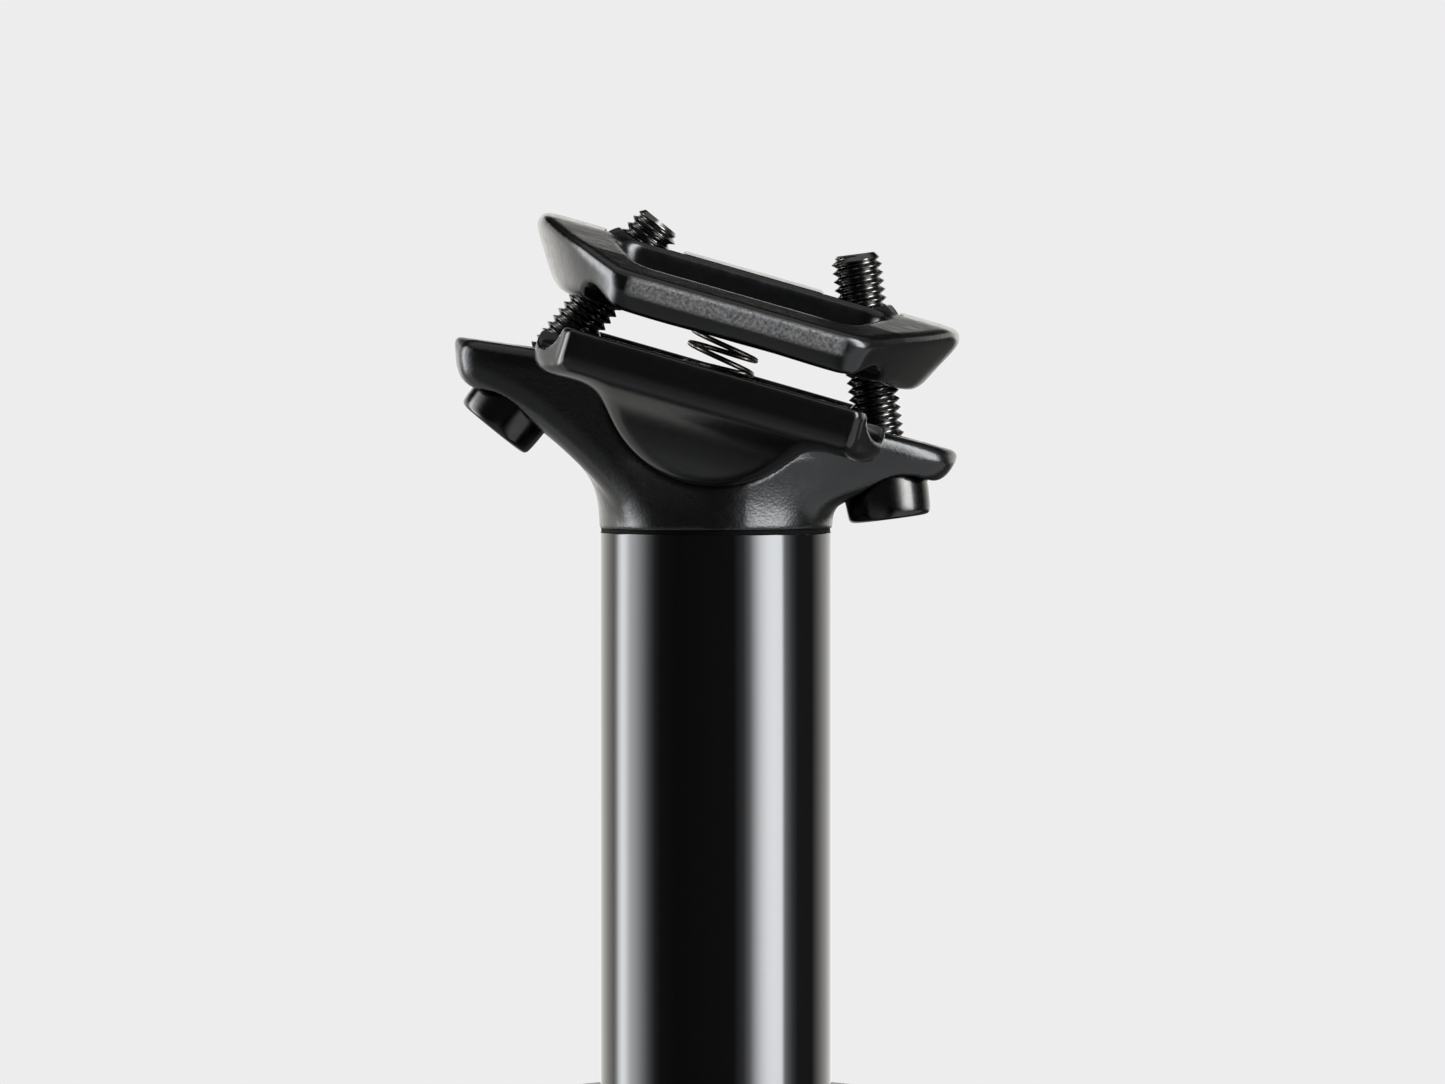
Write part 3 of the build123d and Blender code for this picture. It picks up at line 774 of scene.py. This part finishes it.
floor = bpy.data.meshes.new("floor")
rim_angles = [2 * math.pi * k / FLOOR_SEGS for k in range(FLOOR_SEGS)]
rim = [(FLOOR_R * math.cos(a), FLOOR_R * math.sin(a), FLOOR_Z) for a in rim_angles]
floor.from_pydata([(0, 0, FLOOR_Z)] + rim, [],
                  [(0, k + 1, (k + 1) % FLOOR_SEGS + 1) for k in range(FLOOR_SEGS)])
floor_ob = bpy.data.objects.new("floor", floor)
bpy.context.scene.collection.objects.link(floor_ob)
floor_material, floor_tree, floor_shader = new_material("pale_floor")
floor_tone = noise(floor_tree, object_coords(floor_tree), scale=6, detail=3)
feed(floor_tree, floor_shader.inputs["Base Color"],
     mix_colours(floor_tree, floor_tone, (0.655, 0.645, 0.65), (0.68, 0.67, 0.675)))
floor_shader.inputs["Roughness"].default_value = 0.9
floor.materials.append(floor_material)
floor_ob.visible_glossy = False

# ------------------------------------------------------------------ world light
# Azimuth is 0 towards the camera (-Y), +90 towards +X and 180 beyond the post; all in degrees.
BELT_FULL = 16  # strength at the top of the colour ramp
# belt of light around the horizon: azimuth, strength
BELT = [
    (-180, 1.3), (-145, 1.35), (-130, 1.0), (-123, 0.8), (-118, 2.0), (-114, 5.0), (-108, 8.6),
    (-103, 8.6), (-95.4, 5.4), (-87, 4.1), (-79, 2.4), (-71.5, 0.95), (-64, 0.22), (-57, 0.06),
    (-40, 0.03), (18, 0.05), (28, 0.45), (34.6, 1.8), (40.9, 6.2), (47.3, 10.4), (53.8, 12.8),
    (60.6, 13.4), (69.5, 12.3), (72.5, 3.2), (76, 1.6), (82.6, 0.5), (90, 0.1), (112, 0.06),
    (120, 0.48), (133, 1.12), (150, 1.4), (180, 1.3)]
# glows below the horizon:
# azimuth from, to, softness low, high, elevation from, to, softness, strength
LOW_GLOWS = [
    (-176, -92, 6, 16, -58, -14, 12, 0.62),
    (112, 176, 14, 6, -46, -22, 14, 0.10),
    (-90, -18, 24, 24, -66, -18, 12, 0.28),
    (-30, 40, 20, 20, -70, -30, 14, 0.08),
    (28, 104, 18, 12, -64, -18, 8, 0.85)]
OVERHEAD = 0.5
NADIR = 0.1
AMBIENT = 0.02


def build_world(tree):
    for node in list(tree.nodes):
        tree.nodes.remove(node)

    def calc(operation, *values):
        return math_node(tree, operation, *values)

    def choose(mask, inside, outside):
        return calc("ADD", calc("MULTIPLY", mask, inside),
                    calc("MULTIPLY", calc("SUBTRACT", 1.0, mask), outside))

    direction = add_node(tree, "TexCoord").outputs["Generated"]
    x, y, z = add_node(tree, "SeparateXYZ", {0: direction}).outputs
    degrees = 180 / math.pi
    azimuth = calc("MULTIPLY", calc("ARCTAN2", x, calc("MULTIPLY", y, -1.0)), degrees)
    elevation = calc("MULTIPLY", calc("ARCSINE", z), degrees)
    off_camera = calc("ABSOLUTE", azimuth)

    ramp = add_node(tree, "ValToRGB")
    elements = ramp.color_ramp.elements
    elements.remove(elements[-1])
    for i, (angle, strength) in enumerate(BELT):
        position = (angle + 180) / 360
        stop = elements[0] if i == 0 else elements.new(position)
        stop.position = position
        stop.color = (*[strength / BELT_FULL] * 3, 1)
    feed(tree, ramp.inputs["Fac"], calc("DIVIDE", calc("ADD", azimuth, 180.0), 360.0))
    belt = calc("MULTIPLY", ramp.outputs["Color"], float(BELT_FULL))

    # the belt has its own height beyond the post, on the -X side and on the +X side
    behind = window(tree, off_camera, 121, 190, 6, 1)
    back_height = window(tree, elevation, -4, 13, 9, 12)
    left_height = window(tree, elevation, -10, 26, 16, 18)
    right_height = window(tree, elevation, -3, 46, 8, 16)
    right = window(tree, azimuth, 0, 121, 1, 1)
    side_height = choose(right, right_height, left_height)
    belt_height = choose(behind, back_height, side_height)

    glows = [calc("MULTIPLY", window(tree, elevation, 62, 91, 20, 1), OVERHEAD)]
    for az_from, az_to, soft_low, soft_high, el_from, el_to, el_soft, strength in LOW_GLOWS:
        patch = calc("MULTIPLY", window(tree, azimuth, az_from, az_to, soft_low, soft_high),
                     window(tree, elevation, el_from, el_to, el_soft, el_soft))
        glows.append(calc("MULTIPLY", patch, strength))
    glows.append(calc("MULTIPLY", window(tree, elevation, -91, -64, 1, 14), NADIR))
    total = calc("ADD", calc("MULTIPLY", belt, belt_height), AMBIENT)
    for glow in glows:
        total = calc("ADD", total, glow)

    studio = add_node(tree, "Background")
    # cool light from the camera's side, warm from beyond the post
    tint = add_node(tree, "MixRGB", {
        0: behind, 1: (0.945, 0.968, 1.0, 1), 2: (1.0, 0.985, 0.95, 1)})
    feed(tree, studio.inputs["Color"], tint.outputs[0])
    feed(tree, studio.inputs["Strength"], total)
    # the camera itself sees a plain backdrop
    plain = add_node(tree, "Background", {"Color": (0.855, 0.847, 0.855, 1), "Strength": 1.0})
    seen = add_node(tree, "LightPath").outputs["Is Camera Ray"]
    mixed = add_node(tree, "MixShader")
    for key, value in enumerate((seen, studio.outputs[0], plain.outputs[0])):
        feed(tree, mixed.inputs[key], value)
    add_node(tree, "OutputWorld", {"Surface": mixed.outputs[0]})


scene = bpy.context.scene
world = bpy.data.worlds.new("studio")
scene.world = world
world.use_nodes = True
build_world(world.node_tree)
scene.view_settings.view_transform = "Standard"
scene.view_settings.look = "None"

# ------------------------------------------------------------------ camera, metres
DISTANCE = 1.5
RISE = 0.036  # camera height above the point it aims at
VIEW_WIDTH = 0.170
AIM_Z = (SEAM - 1.65) * MM

camera = bpy.data.cameras.new("camera")
camera.sensor_width = 36
camera.lens = 36 * DISTANCE / VIEW_WIDTH
camera.clip_start = 0.01
camera.clip_end = 20
camera_ob = bpy.data.objects.new("camera", camera)
scene.collection.objects.link(camera_ob)
camera_ob.location = (0.0008, -DISTANCE, AIM_Z + RISE)
camera_ob.rotation_euler = (math.pi / 2 - math.atan2(RISE, DISTANCE), 0, 0)
scene.camera = camera_ob

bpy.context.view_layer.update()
